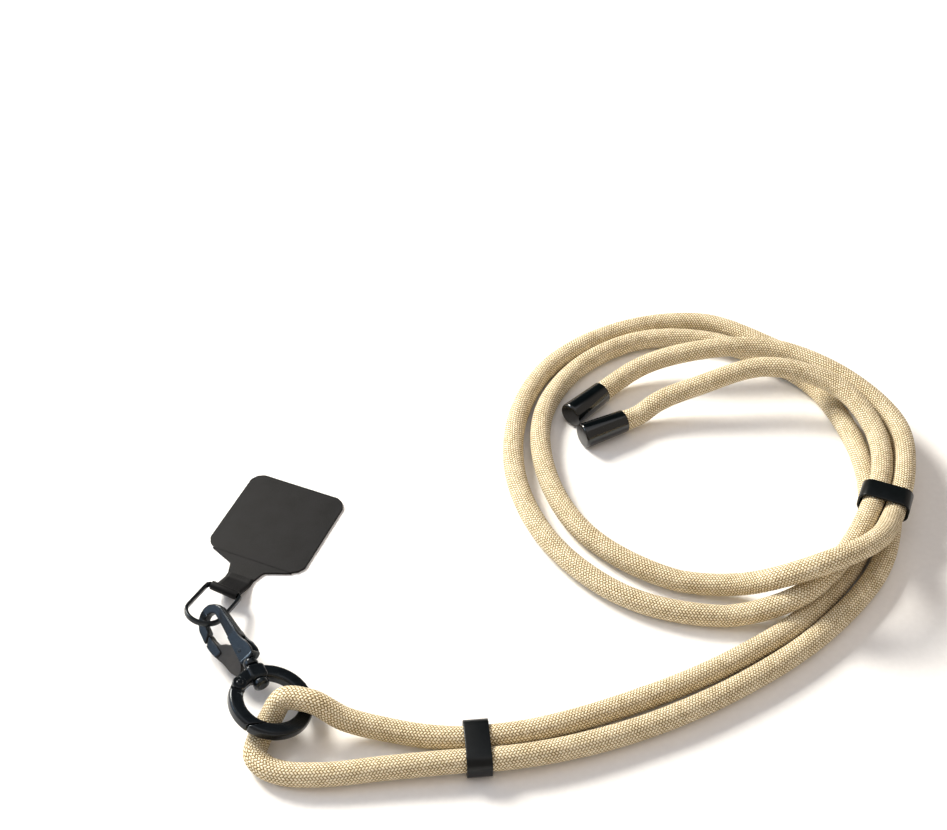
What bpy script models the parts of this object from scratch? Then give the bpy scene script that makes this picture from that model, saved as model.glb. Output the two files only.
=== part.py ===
"""Phone crossbody strap: a braided cord folded through a gate ring, two slider bands,
two end caps, a swivel clasp, a D-ring and a flat tether tab. Metres, +Z up."""
import bpy
import bmesh
import numpy as np
from mathutils import Matrix, Vector
from math import cos, sin, tan, radians, pi

for old in list(bpy.data.objects):
    bpy.data.objects.remove(old, do_unlink=True)

MM = 0.001
GAP = 0.3                # clearance between pieces

# cord
CORD_D = 7.2
CORD_STEP = 27.0         # widest spacing of the tube's points
BEND = 24.0              # degrees of bend that take a point of their own
LIFT = 0.05              # what lies on the floor stays this far above it
FLOOR_Z = CORD_D / 2 + 2 * LIFT        # centre line where the cord lies on the floor

# end caps
CAP_D = 9.1              # closed end
CAP_MOUTH = 8.1          # open end
CAP_L = 16.0
CAP_ROUND = 0.9

# slider bands: two strands side by side
BAND_WALL = 0.8
BAND_W = 2 * CORD_D + 2 * BAND_WALL + 4 * GAP
BAND_H = CORD_D + 2 * BAND_WALL + 0.4
BAND_L = 7.6
BAND_CORNER = 3.4
BAND_Z = BAND_H / 2 + 2 * LIFT         # centre of the slider that lies on the floor
LEVEL_2 = FLOOR_Z + CORD_D / 2 + GAP + BAND_H / 2 - 0.1    # centre of the one on the coil

# gate ring, its own frame: normal tilted, clasp leaves along an azimuth
RING_C = (-60.6, 257.9, 8.9)
RING_TILT = 19.0
RING_TILT_AZ = 15.0
SWIVEL_AZ = 119.5
RING_R = 10.8            # middle of the section
RING_W = 4.4             # radial width
RING_H = 3.8             # thickness
HINGE_AZ = 160.0
SEAM_AZ = 253.0
SEAM_SKEW = 50.0         # slant of the seam from the radial direction
BOSS_IN, BOSS_OUT = 8.2, 13.6
PIN_D = 1.5

# clasp, its own frame: s along the clasp, t across it towards the gate
BASE_R = 15.5            # ring centre to the clasp's base
ROLL = 42.0
HEAD_D, HEAD_L = 5.0, 2.0
STEM_D = 2.4
NECK_D = 4.7
SLOT = 1.15              # half height of the slot that takes the gate
GATE_H = 0.8             # half thickness of the gate's plate
PIVOT = (4.6, 0.2)
PIVOT_D = 1.5

# D-ring and tab
BAR_C = (-80.3, 303.4, 5.0)
BAR_AZ = -20.0
D_SLOPE = 18.0           # the D-ring rises from its bar
D_ROLL = 8.0
D_HALF = 5.9             # half width to the wire's centre
D_LEN = 19.0
WIRE_T, WIRE_W = 1.2, 1.8
BAR_D = 1.3
ROLL_D = 3.0
SHEET = 0.8
ROLL_L = 9.4
PAD_W, PAD_L = 36.0, 44.0

SHIFT = (-28.034, -316.575, -0.05)  # puts the box of the hard pieces on the origin


def material(name, rgb, rough, metal):
    m = bpy.data.materials.new(name)
    m.use_nodes = True
    s = m.node_tree.nodes["Principled BSDF"].inputs
    s["Base Color"].default_value = (*rgb, 1.0)
    s["Roughness"].default_value = rough
    s["Metallic"].default_value = metal
    m.diffuse_color = (*rgb, 1.0)
    return m


BRAID = material("beige_braid", (0.72, 0.58, 0.39), 0.85, 0.0)
BLACK = material("black_plated_metal", (0.015, 0.018, 0.021), 0.22, 0.6)
SATIN = material("satin_black_band", (0.018, 0.022, 0.024), 0.4, 0.3)
CAPS = material("gloss_black_cap", (0.012, 0.018, 0.021), 0.25, 0.2)
SHEET_MAT = material("black_sheet", (0.014, 0.014, 0.015), 0.6, 0.0)


def unit(v):
    v = np.asarray(v, float)
    return v / np.linalg.norm(v)


def mesh_object(name, verts, faces, mat, smooth=True):
    """verts in mm in the photo's frame; faces outward."""
    me = bpy.data.meshes.new(name)
    v = (np.asarray(verts, float) + SHIFT) * MM
    me.from_pydata(v.tolist(), [], [list(map(int, f)) for f in faces])
    bm = bmesh.new()
    bm.from_mesh(me)
    bmesh.ops.recalc_face_normals(bm, faces=bm.faces)
    bm.to_mesh(me)
    bm.free()
    me.materials.append(mat)
    if smooth:
        me.shade_smooth()
    ob = bpy.data.objects.new(name, me)
    bpy.context.scene.collection.objects.link(ob)
    return ob


def loft(sections, closed=False):
    """Quads between equal rings of points; flat ends unless the loft closes on itself."""
    k, n = len(sections), len(sections[0])
    verts = np.vstack(sections)
    faces = []
    for i in range(k if closed else k - 1):
        j = (i + 1) % k
        for a in range(n):
            b = (a + 1) % n
            faces.append((i * n + a, i * n + b, j * n + b, j * n + a))
    if not closed:
        faces += [tuple(range(n))[::-1], tuple((k - 1) * n + a for a in range(n))]
    return verts, faces


def circle(r, n=24):
    t = 2 * pi * np.arange(n) / n
    return np.c_[r * np.cos(t), r * np.sin(t)]


def turned(name, origin, axis, profile, mat, n=24):
    """Solid of revolution: rows (distance along axis, radius), from pole to pole."""
    axis = unit(axis)
    u = unit(np.cross(axis, (0.3, 0.2, 1.0)))
    w = np.cross(axis, u)
    secs = []
    for d, r in profile:
        c = circle(r, n)
        secs.append(np.asarray(origin) + d * axis + c[:, :1] * u + c[:, 1:] * w)
    return mesh_object(name, *loft(secs), mat)


def plate(name, outline, low, high, frame, mat, chamfer=0.35):
    """Extruded outline (s, t) with chamfered rims; low and high may vary per point."""
    o = np.asarray(outline, float)
    area = np.sum(o[:, 0] * np.roll(o[:, 1], -1) - o[:, 1] * np.roll(o[:, 0], -1))
    if area < 0:
        o = o[::-1]
    lo = np.broadcast_to(low, len(o)) if np.ndim(low) == 0 else np.asarray(low)
    hi = np.broadcast_to(high, len(o)) if np.ndim(high) == 0 else np.asarray(high)
    if area < 0 and np.ndim(low):
        lo = lo[::-1]
    if area < 0 and np.ndim(high):
        hi = hi[::-1]
    e1 = o - np.roll(o, 1, 0)
    e2 = np.roll(o, -1, 0) - o
    n1 = np.c_[-e1[:, 1], e1[:, 0]] / np.linalg.norm(e1, axis=1)[:, None]
    n2 = np.c_[-e2[:, 1], e2[:, 0]] / np.linalg.norm(e2, axis=1)[:, None]
    m = n1 + n2
    m = m / np.maximum(np.sum(m * n1, axis=1), 0.5)[:, None]
    inner = o + chamfer * m
    p0, a, b, c = frame
    rows = ((inner, lo), (o, lo + chamfer), (o, hi - chamfer), (inner, hi))
    secs = [p0 + r[:, :1] * a + r[:, 1:] * b + h[:, None] * c for r, h in rows]
    return mesh_object(name, *loft(secs), mat, smooth=False)


def on_axis(ob, point):
    """Puts the object's origin on its joint; point in mm in the photo's frame."""
    at = (np.asarray(point, float) + SHIFT) * MM
    ob.data.transform(Matrix.Translation(Vector(-at)))
    ob.location = Vector(at)


def boolean(ob, other, op):
    md = ob.modifiers.new(op.lower(), "BOOLEAN")
    md.operation = op
    md.solver = "EXACT"
    md.object = other
    other.hide_render = True
    other.display_type = "WIRE"


# frames
tilt, taz = radians(RING_TILT), radians(RING_TILT_AZ)
RN = np.array([sin(tilt) * cos(taz), sin(tilt) * sin(taz), cos(tilt)])
RC = np.array(RING_C)


def ring_dir(az):
    """Direction in the ring's plane whose plan azimuth is az degrees."""
    h = np.array([cos(radians(az)), sin(radians(az)), 0.0])
    h[2] = -np.dot(h, RN) / RN[2]
    return unit(h)


RX = ring_dir(SWIVEL_AZ)
RY = np.cross(RN, RX)


def ring_angle(az):
    d = ring_dir(az)
    return np.degrees(np.arctan2(np.dot(d, RY), np.dot(d, RX)))


def ring_point(angle, r, h=0.0):
    t = radians(angle)
    return RC + r * (cos(t) * RX + sin(t) * RY) + h * RN


A = RX
bh = unit(np.cross((0, 0, 1.0), A))
B = cos(radians(ROLL)) * bh - sin(radians(ROLL)) * np.cross(A, bh)
C = np.cross(A, B)
P0 = RC + BASE_R * A
CLASP = (P0, A, B, C)


# cord: one piece, both halves of the fold
# x, y, z of the centre line (mm), from cap A round the coil to the ring and back to cap B
F, S, CAP_Z = FLOOR_Z, LEVEL_2, CAP_D / 2 + 2 * LIFT
ROUTE = (
    (46.1, 394.94, CAP_Z), (51, 399.84, CAP_Z), (62, 407.1, 7), (84, 411.4, 11.4),
    (109.9, 411.8, 11.9), (134.4, 396.2, 11.9), (149.2, 369.2, 12), (146.4, 347.2, S),
    (139.2, 329.6, S), (126.8, 310.5, 20), (110.3, 301.9, 20.5), (97.7, 301, 15), (86.1, 304.5, 6.8),
    (65.9, 308.7, F), (36.8, 329.7, F), (25.4, 356.3, F), (25.7, 386.8, F), (40.7, 411.5, F),
    (64.7, 425.5, F), (90.6, 424.7, F), (109.6, 414.7, F), (124.6, 400.9, F), (133, 381.3, F),
    (136.4, 352.4, F), (128.9, 323.2, F), (105.1, 293.2, F), (82.4, 277.6, F), (47.1, 260.8, F),
    (12, 249.6, BAND_Z), (-6, 248, BAND_Z), (-26, 251.1, 4.6), (-38, 253, 7.1), (-49.4, 256.4, 12),
    (-56.8, 257.4, 11), (-60.6, 253.8, 6.4), (-63.8, 248, F), (-64.4, 243, F), (-61.2, 239, F),
    (-55.8, 236.8, F), (-46, 236.2, F), (-26, 238.1, 4.2), (-6, 240, BAND_Z), (12, 241.6, BAND_Z),
    (46.8, 250.9, F), (82.2, 267.7, F), (112.1, 289.3, F), (134.6, 316.3, F), (143.4, 345.1, F),
    (146.2, 375.2, F), (130.5, 407.6, F), (114, 420.7, F), (88.2, 435.4, F), (72.5, 435.3, F),
    (57, 431, F), (40.1, 421.6, F), (26.5, 408, F), (19.1, 393.8, F), (14.9, 378.2, F),
    (15.5, 350.3, F), (27.3, 322.4, F), (51, 301, F), (80.3, 294, F), (103.9, 297.4, 10.2),
    (119, 311.4, 11.8), (132.2, 332.4, S), (139.6, 350.9, S), (140.5, 368.5, 12.4),
    (130.9, 388.1, 14.6), (106, 396.9, 16.4), (81.8, 392.5, 11.4), (66.1, 387.8, 7.2),
    (59.2, 383.7, CAP_Z), (52.9, 380.5, CAP_Z))


def route_slopes(p):
    """Slope at each row: the chords beside it, each weighted by the other's length."""
    d = np.linalg.norm(np.diff(p, axis=0), axis=1)
    m = np.empty_like(p)
    m[1:-1] = ((p[1:-1] - p[:-2]) / d[:-1, None] * d[1:, None]
               + (p[2:] - p[1:-1]) / d[1:, None] * d[:-1, None]) / (d[:-1] + d[1:])[:, None]
    m[0], m[-1] = (p[1] - p[0]) / d[0], (p[-1] - p[-2]) / d[-1]
    return d, m


RP = np.asarray(ROUTE, float)
RD, RM = route_slopes(RP)


def route_point(i, u):
    """Point of the cubic between rows i and i + 1, at the share u of it."""
    h = (2 * u**3 - 3 * u**2 + 1, u**3 - 2 * u**2 + u, 3 * u**2 - 2 * u**3, u**3 - u**2)
    q = h[0] * RP[i] + h[1] * RD[i] * RM[i] + h[2] * RP[i + 1] + h[3] * RD[i] * RM[i + 1]
    return np.array((q[0], q[1], max(q[2], FLOOR_Z)))


def smooth_route(step):
    """Points along the whole route, closer together where it bends."""
    out = []
    for i in range(len(RP) - 1):
        bend = np.degrees(np.arccos(np.clip(np.dot(unit(RM[i]), unit(RM[i + 1])), -1, 1)))
        k = max(1, int(round(RD[i] / step)), int(bend / BEND) if RD[i] < step else 1)
        out += [route_point(i, u) for u in np.arange(k) / k]
    return np.array(out + [RP[-1]])


path = smooth_route(CORD_STEP)
cu = bpy.data.curves.new("cord", "CURVE")
cu.dimensions = "3D"
cu.bevel_depth = CORD_D / 2 * MM
cu.bevel_resolution = 4
cu.use_fill_caps = True
sp = cu.splines.new("POLY")
sp.points.add(len(path) - 1)
for pt, q in zip(sp.points, (path + SHIFT) * MM):
    pt.co = (*q, 1.0)
cu.materials.append(BRAID)
cord = bpy.data.objects.new("cord", cu)
bpy.context.scene.collection.objects.link(cord)

# end caps
for name, end, before in (("end_cap_a", path[0], path[1]), ("end_cap_b", path[-1], path[-2])):
    ax = unit(end - before)
    prof = ((GAP, CAP_MOUTH / 2 - 0.75), (GAP, CAP_MOUTH / 2 - 0.3), (GAP + 0.3, CAP_MOUTH / 2),
            (CAP_L - CAP_ROUND, CAP_D / 2), (CAP_L - 0.3, CAP_D / 2 - 0.35),
            (CAP_L, CAP_D / 2 - CAP_ROUND))
    turned(name, end, ax, prof, CAPS, 28)


# slider bands
def rounded(w, h, r, n=6):
    """Rounded rectangle, n + 1 points a corner."""
    pts = []
    for cx, cy, a0 in ((1, 1, 0), (-1, 1, 90), (-1, -1, 180), (1, -1, 270)):
        for k in range(n + 1):
            t = radians(a0 + 90 * k / n)
            pts.append((cx * (w / 2 - r) + r * cos(t), cy * (h / 2 - r) + r * sin(t)))
    return np.array(pts)


def band(name, one, other):
    """Round the two strands at those places (row, share to the next row) of the route."""
    a, b = (RP[i] + u * (RP[i + 1] - RP[i]) for i, u in (one, other))
    side = unit((a - b) * (1, 1, 0))
    al = np.cross((0, 0, 1.0), side)
    up = np.array([0, 0, 1.0])
    inner = BAND_CORNER - BAND_WALL
    out = rounded(BAND_W, BAND_H, BAND_CORNER)
    inn = rounded(BAND_W - 2 * BAND_WALL, BAND_H - 2 * BAND_WALL, inner)
    e = 0.25
    rows = ((out - e * np.sign(out), -BAND_L / 2), (out, -BAND_L / 2 + e), (out, BAND_L / 2 - e),
            (out - e * np.sign(out), BAND_L / 2), (inn, BAND_L / 2), (inn, -BAND_L / 2))
    secs = [(a + b) / 2 + r[:, :1] * side + r[:, 1:] * up + d * al for r, d in rows]
    mesh_object(name, *loft(secs, closed=True), SATIN, smooth=False)


band("ring_slider", (28, 0.62), (41, 0.42))
band("coil_slider", (7, 0.72), (64, 0.27))

# gate ring
SEC = rounded(RING_W, RING_H, 1.1, 3)
hinge_a, seam_a = ring_angle(HINGE_AZ), ring_angle(SEAM_AZ) % 360


def ring_arc(name, a0, a1, skew0, skew1, mat):
    """Arc of the ring's section; each end may lie on a plane slanted from the radius."""
    secs = []
    for f in np.linspace(0, 1, int(abs(a1 - a0) / 6) + 2):
        row = []
        for x, y in SEC:
            r = RING_R + x
            first = a0 - np.degrees(x * tan(radians(skew0)) / r)
            last = a1 - np.degrees(x * tan(radians(skew1)) / r)
            row.append(ring_point(first + (last - first) * f, r, y))
        secs.append(np.array(row))
    return mesh_object(name, *loft(secs), mat, smooth=False)


HC = ring_point(hinge_a, RING_R)
gap_a = np.degrees((GAP / 2 + 0.05) / cos(radians(SEAM_SKEW)) / RING_R)
ring = ring_arc("gate_ring", seam_a + gap_a, hinge_a + 360, SEAM_SKEW, 0, BLACK)
third = RING_H / 2 - 1.15
top = RING_H / 2 + 0.12
knuckle = turned("knuckle", HC, RN, ((-top, 1.9), (-top + 0.3, 2.25), (top - 0.3, 2.25), (top, 1.9)),
                 BLACK)
slot = turned("slot", HC, RN, ((-third, 2.9), (third, 2.9)), BLACK)
boss = plate("boss", ((BOSS_IN, -3.1), (BOSS_OUT, -3.1), (BOSS_OUT, 3.1), (BOSS_IN, 3.1)),
             -2.3, 2.3, (RC, RX, RY, RN), BLACK, 0.5)
bore = turned("bore", RC, RX, ((6.0, STEM_D / 2 + GAP), (16.0, STEM_D / 2 + GAP)), BLACK)
pin = turned("pin", HC, RN, ((-top - 0.2, PIN_D / 2), (top + 0.2, PIN_D / 2)), BLACK)
for other, op in ((knuckle, "UNION"), (boss, "UNION"), (slot, "DIFFERENCE"), (bore, "DIFFERENCE"),
                  (pin, "UNION")):
    boolean(ring, other, op)

gate = ring_arc("ring_gate", hinge_a, seam_a - gap_a, 0, SEAM_SKEW, BLACK)
for side in (-1, 1):
    lo, hi = sorted((side * (third - 0.3), side * (RING_H / 2 + 1)))
    cheek = turned(f"cheek_{side}", HC, RN, ((lo, 2.2 + GAP), (hi, 2.2 + GAP)), BLACK)
    boolean(gate, cheek, "DIFFERENCE")
tongue = turned("tongue", HC, RN, ((-third + 0.3, 2.1), (third - 0.3, 2.1)), BLACK)
eye = turned("eye", HC, RN, ((-3, PIN_D / 2 + GAP), (3, PIN_D / 2 + GAP)), BLACK)
boolean(gate, tongue, "UNION")
boolean(gate, eye, "DIFFERENCE")
on_axis(gate, HC)

# swivel clasp
# s, t, half thickness of the body with its spine and nose
BODY = np.array((
    (0.2, -2.3, 1.9), (0.8, -3.6, 1.9), (3.0, -3.9, 1.9), (5.6, -3.4, 1.9), (7.4, -2.6, 1.8),
    (9.4, -2.1, 1.7), (14.0, -1.8, 1.5), (18.5, -1.3, 1.3), (21.8, -0.9, 1.3),
    (24.3, 0.4, 1.3), (25.9, 2.6, 1.3), (26.3, 4.7, 1.3), (25.7, 7.0, 1.3), (24.0, 9.0, 1.3),
    (21.3, 10.2, 1.3), (15.5, 10.5, 1.3), (18.2, 7.3, 1.3), (21.4, 7.1, 1.3), (22.7, 6.2, 1.3),
    (23.2, 4.8, 1.3), (22.8, 3.2, 1.3), (21.6, 2.2, 1.3), (18.5, 2.0, 1.3), (14.0, 1.9, 1.5),
    (9.4, 1.9, 1.7), (5.0, 2.0, 1.9), (1.0, 2.0, 1.9), (0.2, 1.5, 1.9)))
# s, t of the gate: arm, round thumb plate and the hub in the body's slot
GATE = np.array((
    (15.0, 10.5), (13.2, 10.3), (11.5, 10.0), (8.5, 9.1), (6.0, 8.2), (3.6, 7.7), (1.4, 7.2),
    (-0.3, 6.3), (-1.0, 5.0), (-0.6, 3.7), (0.4, 2.9), (2.2, 2.3), (2.5, -1.4), (3.4, -2.0),
    (5.8, -2.0), (6.8, -1.4), (8.2, 1.0), (9.6, 3.0), (10.8, 4.0), (11.6, 5.2), (12.6, 6.4),
    (15.2, 7.2), (17.6, 7.3)))
body = plate("swivel_hook", BODY[:, :2], -BODY[:, 2], BODY[:, 2], CLASP, BLACK)
cut = plate("gate_slot", ((1.7, -2.6), (7.6, -2.6), (10.2, 0.4), (11.4, 4.0), (1.7, 4.0)),
            -SLOT, SLOT, CLASP, BLACK, 0.05)
pivot = turned("pivot", P0 + PIVOT[0] * A + PIVOT[1] * B, C, ((-1.5, PIVOT_D / 2), (1.5, PIVOT_D / 2)), BLACK)
d_head = BOSS_IN - GAP - BASE_R
stem = turned("stem", P0, A, (
    (d_head - HEAD_L, HEAD_D / 2 - 1.0), (d_head - HEAD_L + 0.3, HEAD_D / 2 - 0.4),
    (d_head - HEAD_L + 0.9, HEAD_D / 2), (d_head, HEAD_D / 2), (d_head, STEM_D / 2),
    (BOSS_OUT + GAP - BASE_R, STEM_D / 2), (BOSS_OUT + GAP - BASE_R, NECK_D / 2 - 0.3),
    (BOSS_OUT + GAP + 0.3 - BASE_R, NECK_D / 2), (-0.1, NECK_D / 2), (0.9, NECK_D / 2 - 0.5)), BLACK)
boolean(body, stem, "UNION")
boolean(body, cut, "DIFFERENCE")
boolean(body, pivot, "UNION")
on_axis(body, P0)

hook_gate = plate("hook_gate", GATE, -GATE_H, GATE_H, CLASP, BLACK, 0.25)
arm = plate("arm", ((15.1, 10.4), (13.2, 10.2), (11.5, 9.9), (9.4, 9.3), (9.4, 6.6), (12.6, 6.9),
                    (15.2, 7.4), (17.4, 7.5)), -1.3, 1.3, CLASP, BLACK)
hole = turned("gate_hole", P0 + PIVOT[0] * A + PIVOT[1] * B, C,
              ((-3, PIVOT_D / 2 + GAP), (3, PIVOT_D / 2 + GAP)), BLACK)
boolean(hook_gate, arm, "UNION")
boolean(hook_gate, hole, "DIFFERENCE")
on_axis(hook_gate, P0 + PIVOT[0] * A + PIVOT[1] * B)

# D-ring
baz, om, ps = radians(BAR_AZ), radians(D_SLOPE), radians(D_ROLL)
E1 = np.array([cos(baz), sin(baz), 0.0])
E2 = cos(om) * np.array([E1[1], -E1[0], 0.0]) + sin(om) * np.array([0, 0, 1.0])
EN = unit(np.cross(E1, E2))
EN = EN if EN[2] > 0 else -EN
E1 = cos(ps) * E1 - sin(ps) * EN
EN = unit(np.cross(E1, E2))
EN = EN if EN[2] > 0 else -EN
BC = np.array(BAR_C)
# x, y on the wire's centre, then radial and axial size there
loop = [(x, 0.0, BAR_D, BAR_D) for x in (-3.9, -1.5, 1.5, 3.9)]
loop += [(D_HALF - 0.7, 0.05, BAR_D, WIRE_W), (D_HALF - 0.1, 0.7, WIRE_T, WIRE_W)]
loop += [(D_HALF, y, WIRE_T, WIRE_W) for y in np.linspace(2.5, D_LEN - D_HALF, 5)]
loop += [(D_HALF * cos(t), D_LEN - D_HALF + D_HALF * sin(t), WIRE_T, WIRE_W)
         for t in np.linspace(0, pi, 19)[1:-1]]
loop += [(-D_HALF, y, WIRE_T, WIRE_W) for y in np.linspace(D_LEN - D_HALF, 2.5, 5)]
loop += [(-D_HALF + 0.1, 0.7, WIRE_T, WIRE_W), (-D_HALF + 0.7, 0.05, BAR_D, WIRE_W)]
loop = np.array(loop)
tan_ = np.roll(loop[:, :2], -1, 0) - np.roll(loop[:, :2], 1, 0)
tan_ /= np.linalg.norm(tan_, axis=1)[:, None]
nor = np.c_[tan_[:, 1], -tan_[:, 0]]
oct_ = rounded(1.0, 1.0, 0.29, 1)
secs = []
for (x, y, wr, wa), nn in zip(loop, nor):
    q = np.array([x, y]) + (oct_[:, :1] * wr) * nn
    secs.append(BC + q[:, :1] * E1 + q[:, 1:] * E2 + (oct_[:, 1:] * wa) * EN)
d_ring = mesh_object("d_ring", *loft(secs, closed=True), BLACK, smooth=False)
on_axis(d_ring, BC + D_LEN * E2)

# tether tab
PU = unit(np.cross((0, 0, 1.0), (E1[0], E1[1], 0)))      # away from the clasp, level
PV = unit((E1[0], E1[1], 0))
zb = BC[2]
ro, ri = ROLL_D / 2, ROLL_D / 2 - 0.5
roll_o = turned("tether_tab", BC - ROLL_L / 2 * E1, E1, ((0, ro), (ROLL_L, ro)), SHEET_MAT, 20)
# u, upper z of the sheet from the roll down to the floor (mm)
DROP = np.array(((-0.2, zb - 0.9), (1.4, zb - 1.2), (3.4, zb - 2.0), (5.6, 1.9), (8.0, 1.0), (10.5, SHEET + 0.05)))
low = np.c_[DROP[:, 0], DROP[:, 1] - SHEET]
strip = np.vstack((DROP, low[::-1]))
secs = [BC * (1, 1, 0) + v * PV + strip[:, :1] * PU + strip[:, 1:] * np.array([0, 0, 1.0])
        for v in (-ROLL_L / 2, ROLL_L / 2)]
neck = mesh_object("neck", *loft(secs), SHEET_MAT, smooth=False)
half, r = PAD_W / 2, 5.0
pad_out = [(9.5, -ROLL_L / 2), (14.0, -ROLL_L / 2 - 1.5), (17.5, -half + 3.0)]
for cx, cy, a0 in ((22.5, -half + r, 180), (9.5 + PAD_L - r, -half + r, 270)):
    pad_out += [(cx + r * cos(radians(a0 + k)), cy + r * sin(radians(a0 + k))) for k in (15, 45, 75)]
pad_out += [(u, -v) for u, v in pad_out[::-1]]
pad = plate("pad", pad_out, 0.05, SHEET + 0.05, (BC * (1, 1, 0), PU, PV, np.array([0, 0, 1.0])), SHEET_MAT, 0.15)
bore2 = turned("roll_bore", BC - 8 * E1, E1, ((0, ri), (16, ri)), SHEET_MAT, 20)
boolean(roll_o, neck, "UNION")
boolean(roll_o, pad, "UNION")
boolean(roll_o, bore2, "DIFFERENCE")
on_axis(roll_o, BC)
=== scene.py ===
"""Phone crossbody strap: a beige braided cord with black fittings, on a pale table."""
from math import cos, pi, radians, sin, tan

import bmesh
import bpy
import numpy as np
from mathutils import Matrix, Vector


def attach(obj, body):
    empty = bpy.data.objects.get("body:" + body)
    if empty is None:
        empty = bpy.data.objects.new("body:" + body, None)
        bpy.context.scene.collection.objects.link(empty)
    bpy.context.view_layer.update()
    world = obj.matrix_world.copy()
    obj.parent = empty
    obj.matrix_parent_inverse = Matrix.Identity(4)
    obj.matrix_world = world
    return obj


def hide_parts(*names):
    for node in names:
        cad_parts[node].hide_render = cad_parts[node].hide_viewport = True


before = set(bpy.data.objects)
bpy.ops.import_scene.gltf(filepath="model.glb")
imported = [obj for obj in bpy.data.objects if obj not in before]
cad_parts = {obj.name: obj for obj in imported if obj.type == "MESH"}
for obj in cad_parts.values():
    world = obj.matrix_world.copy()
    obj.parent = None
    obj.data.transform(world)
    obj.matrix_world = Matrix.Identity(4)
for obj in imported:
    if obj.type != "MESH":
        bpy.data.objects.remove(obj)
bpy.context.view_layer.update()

# Table, light and camera.
# A white sheet of paper under a big soft window behind and to the left, so that the shadows
# fall towards the viewer. The camera looks down at 45 degrees over the ring's side.
IMAGE_W = 947
FOCAL_PX = 1500.0                     # focal length in pixels of that width
CAM_AT = (-0.028034, -0.316575, 0.38595)
CAM_DOWN = 44.8                       # degrees below the horizon
bpy.context.scene.view_settings.view_transform = "Standard"


def linear(hex_colour):
    """sRGB hex to linear RGBA: the standard curve, channel by channel."""
    c = np.array([int(hex_colour[i:i + 2], 16) for i in (1, 3, 5)]) / 255
    c = np.where(c <= 0.04045, c / 12.92, ((c + 0.055) / 1.055) ** 2.4)
    return (*map(float, c), 1.0)


def add(tree, kind, links=(), stops=(), **settings):
    """One node. settings are properties, or inputs by name (in0 is input 0); links are
    (input, socket); stops are a ramp's (place, hex colour)."""
    n = tree.nodes.new("ShaderNode" + kind)
    for key, value in settings.items():
        if key[:2] == "in" and key[2:].isdigit():
            n.inputs[int(key[2:])].default_value = value
        elif hasattr(n, key):
            setattr(n, key, value)
        else:
            n.inputs[key.replace("_", " ")].default_value = value
    for name, source in links:
        tree.links.new(source.outputs[0] if hasattr(source, "outputs") else source, n.inputs[name])
    if stops:
        e = n.color_ramp.elements
        while len(e) < len(stops):
            e.new(0.5)
        for k, (at, colour) in enumerate(stops):
            e[k].position = at
            e[k].color = linear(colour)
    return n


def material(name, **principled):
    """A Principled material with those socket values; returns it, its tree and its shader."""
    m = bpy.data.materials.new(name)
    m.use_nodes = True
    shader = m.node_tree.nodes["Principled BSDF"]
    for key, value in principled.items():
        shader.inputs[key.replace("_", " ")].default_value = value
    return m, m.node_tree, shader


# matt coated paper: bright, faintly cool, with a soft grain of about 2 mm
paper, pt, ps = material("matt_coated_paper", Roughness=0.7, Specular_IOR_Level=0.2)
spot = add(pt, "TexCoord").outputs["Object"]
grain = add(pt, "TexNoise", [("Vector", spot)], Scale=520.0, Detail=3.0)
tint = add(pt, "ValToRGB", [("Fac", grain)], ((0.3, "#f4f3f2"), (0.7, "#f8f7f6")))
pt.links.new(tint.outputs[0], ps.inputs["Base Color"])
# a sheet 8 m wide, so that its edges are out of the picture
me = bpy.data.meshes.new("table")
me.from_pydata([(-4, -3, 0), (4, -3, 0), (4, 5, 0), (-4, 5, 0)], [], [(0, 1, 2, 3)])
me.materials.append(paper)
table = bpy.data.objects.new("table", me)
bpy.context.scene.collection.objects.link(table)

# an even warm room, with a dark flag opposite the camera that keeps flat black tops black
world = bpy.data.worlds.new("studio")
world.use_nodes = True
wt = world.node_tree
outward = add(wt, "TexCoord").outputs["Generated"]
facing = add(wt, "VectorMath", [(0, outward)], operation="DOT_PRODUCT", in1=(0.0, 0.71, 0.7))
room = add(wt, "ValToRGB", [("Fac", facing.outputs["Value"])],
           ((0.62, "#fff2e6"), (0.9, "#3a3a3c")))
wt.links.new(room.outputs[0], wt.nodes["Background"].inputs["Color"])
wt.nodes["Background"].inputs["Strength"].default_value = 0.56
bpy.context.scene.world = world


def soft_light(name, at, towards, size, watts, colour):
    """Rectangular area light: its own -Z is turned along the line from at to towards."""
    la = bpy.data.lights.new(name, "AREA")
    la.shape = "RECTANGLE"
    la.size, la.size_y = size
    la.energy = watts
    la.color = linear(colour)[:3]
    ob = bpy.data.objects.new(name, la)
    bpy.context.scene.collection.objects.link(ob)
    ob.location = at
    direction = Vector(towards) - Vector(at)
    ob.rotation_euler = direction.to_track_quat("-Z", "Y").to_euler()


soft_light("window", (-0.8, 0.75, 0.8), (0.02, 0.0, 0.0), (0.5, 0.4), 33.0, "#fffaf0")
soft_light("ceiling", (0.1, 0.2, 1.5), (0.0, 0.0, 0.0), (1.3, 1.3), 4.0, "#f8f9ff")
soft_light("sky", (-0.95, 0.06, 0.5), (-0.08, -0.03, 0.0), (0.4, 0.5), 2.6, "#9cc3e8")

cam = bpy.data.cameras.new("camera")
cam.sensor_width = 36.0
cam.lens = FOCAL_PX / IMAGE_W * cam.sensor_width
cam.clip_start, cam.clip_end = 0.01, 20.0
camera = bpy.data.objects.new("camera", cam)
camera.location = CAM_AT
camera.rotation_euler = (radians(90.0 - CAM_DOWN), 0.0, 0.0)
bpy.context.scene.collection.objects.link(camera)
bpy.context.scene.camera = camera

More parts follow.
